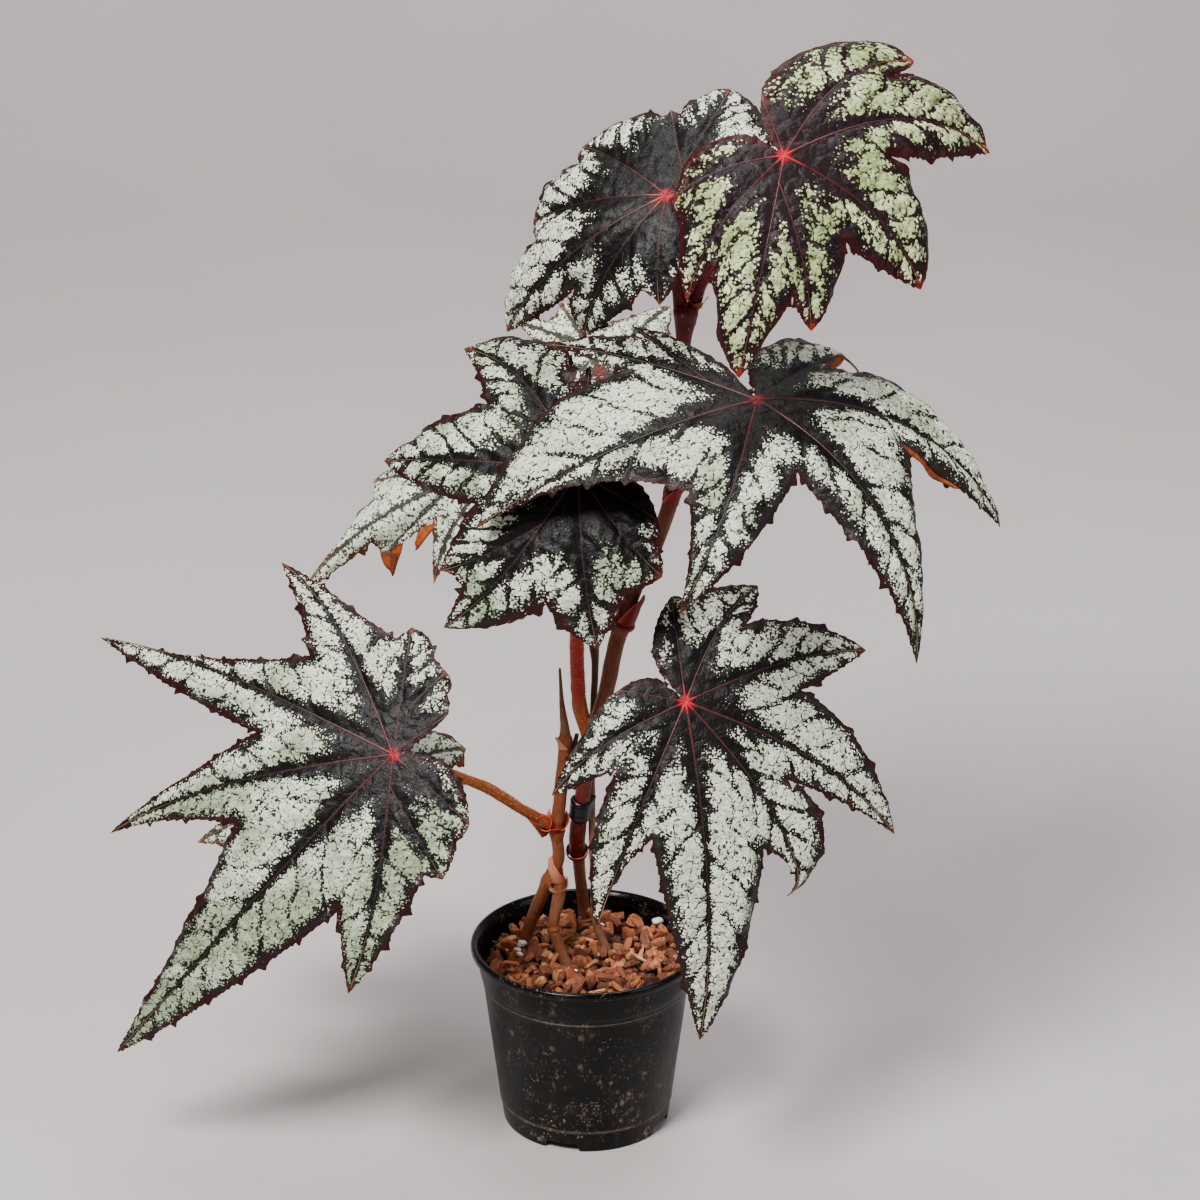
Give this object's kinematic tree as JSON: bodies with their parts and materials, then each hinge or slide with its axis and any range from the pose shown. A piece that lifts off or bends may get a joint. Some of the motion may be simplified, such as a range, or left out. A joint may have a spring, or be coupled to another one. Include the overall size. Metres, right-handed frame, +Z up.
{
  "type": "potted rex begonia",
  "caption": "Potted rex begonia: star-shaped silver and black leaves on long stalks and jointed canes, standing in a round nursery pot of bark chips.",
  "frame": {"origin": "on the floor under the middle of the whole plant's bounding box", "axes": "+Z up, the pictured side faces -Y, +X to the right of it"},
  "size_m": [0.4552, 0.2984, 0.5772],
  "materials": {
    "pot": "thin black pot plastic, satin, dusty with brown specks",
    "bark": "rough orange-brown bark chips",
    "cane": "red-brown woody stem with paler rings and papery sheaths",
    "cane_thin": "thin grey-brown woody stem",
    "tie": "black plant tie",
    "blade": "silver patches between near-black veins and margins, satin",
    "blade_young": "silver-green patches with wine-red veins and margins, satin",
    "blade_pale": "pale silver with grey-green veins, satin",
    "petiole": "orange-brown downy leaf stalk",
    "petiole_red": "bright red hairy leaf stalk"
  },
  "bodies": {
    "root": {"pot": "pot", "bark": "bark", "cane_main": "cane", "cane_left": "cane", "cane_thin": "cane_thin", "tie": "tie", "blade_top": "blade_young", "blade_crown": "blade", "blade_right": "blade", "blade_centre": "blade", "blade_back_left": "blade_pale", "blade_back": "blade_pale", "blade_lower_left": "blade", "blade_lower_right": "blade", "blade_hidden_left": "blade_pale", "petiole_top": "petiole", "petiole_crown": "petiole", "petiole_right": "petiole", "petiole_centre": "petiole_red", "petiole_back_left": "petiole", "petiole_back": "petiole", "petiole_lower_left": "petiole", "petiole_lower_right": "petiole", "petiole_hidden_left": "petiole"}
  },
  "joints": []
}
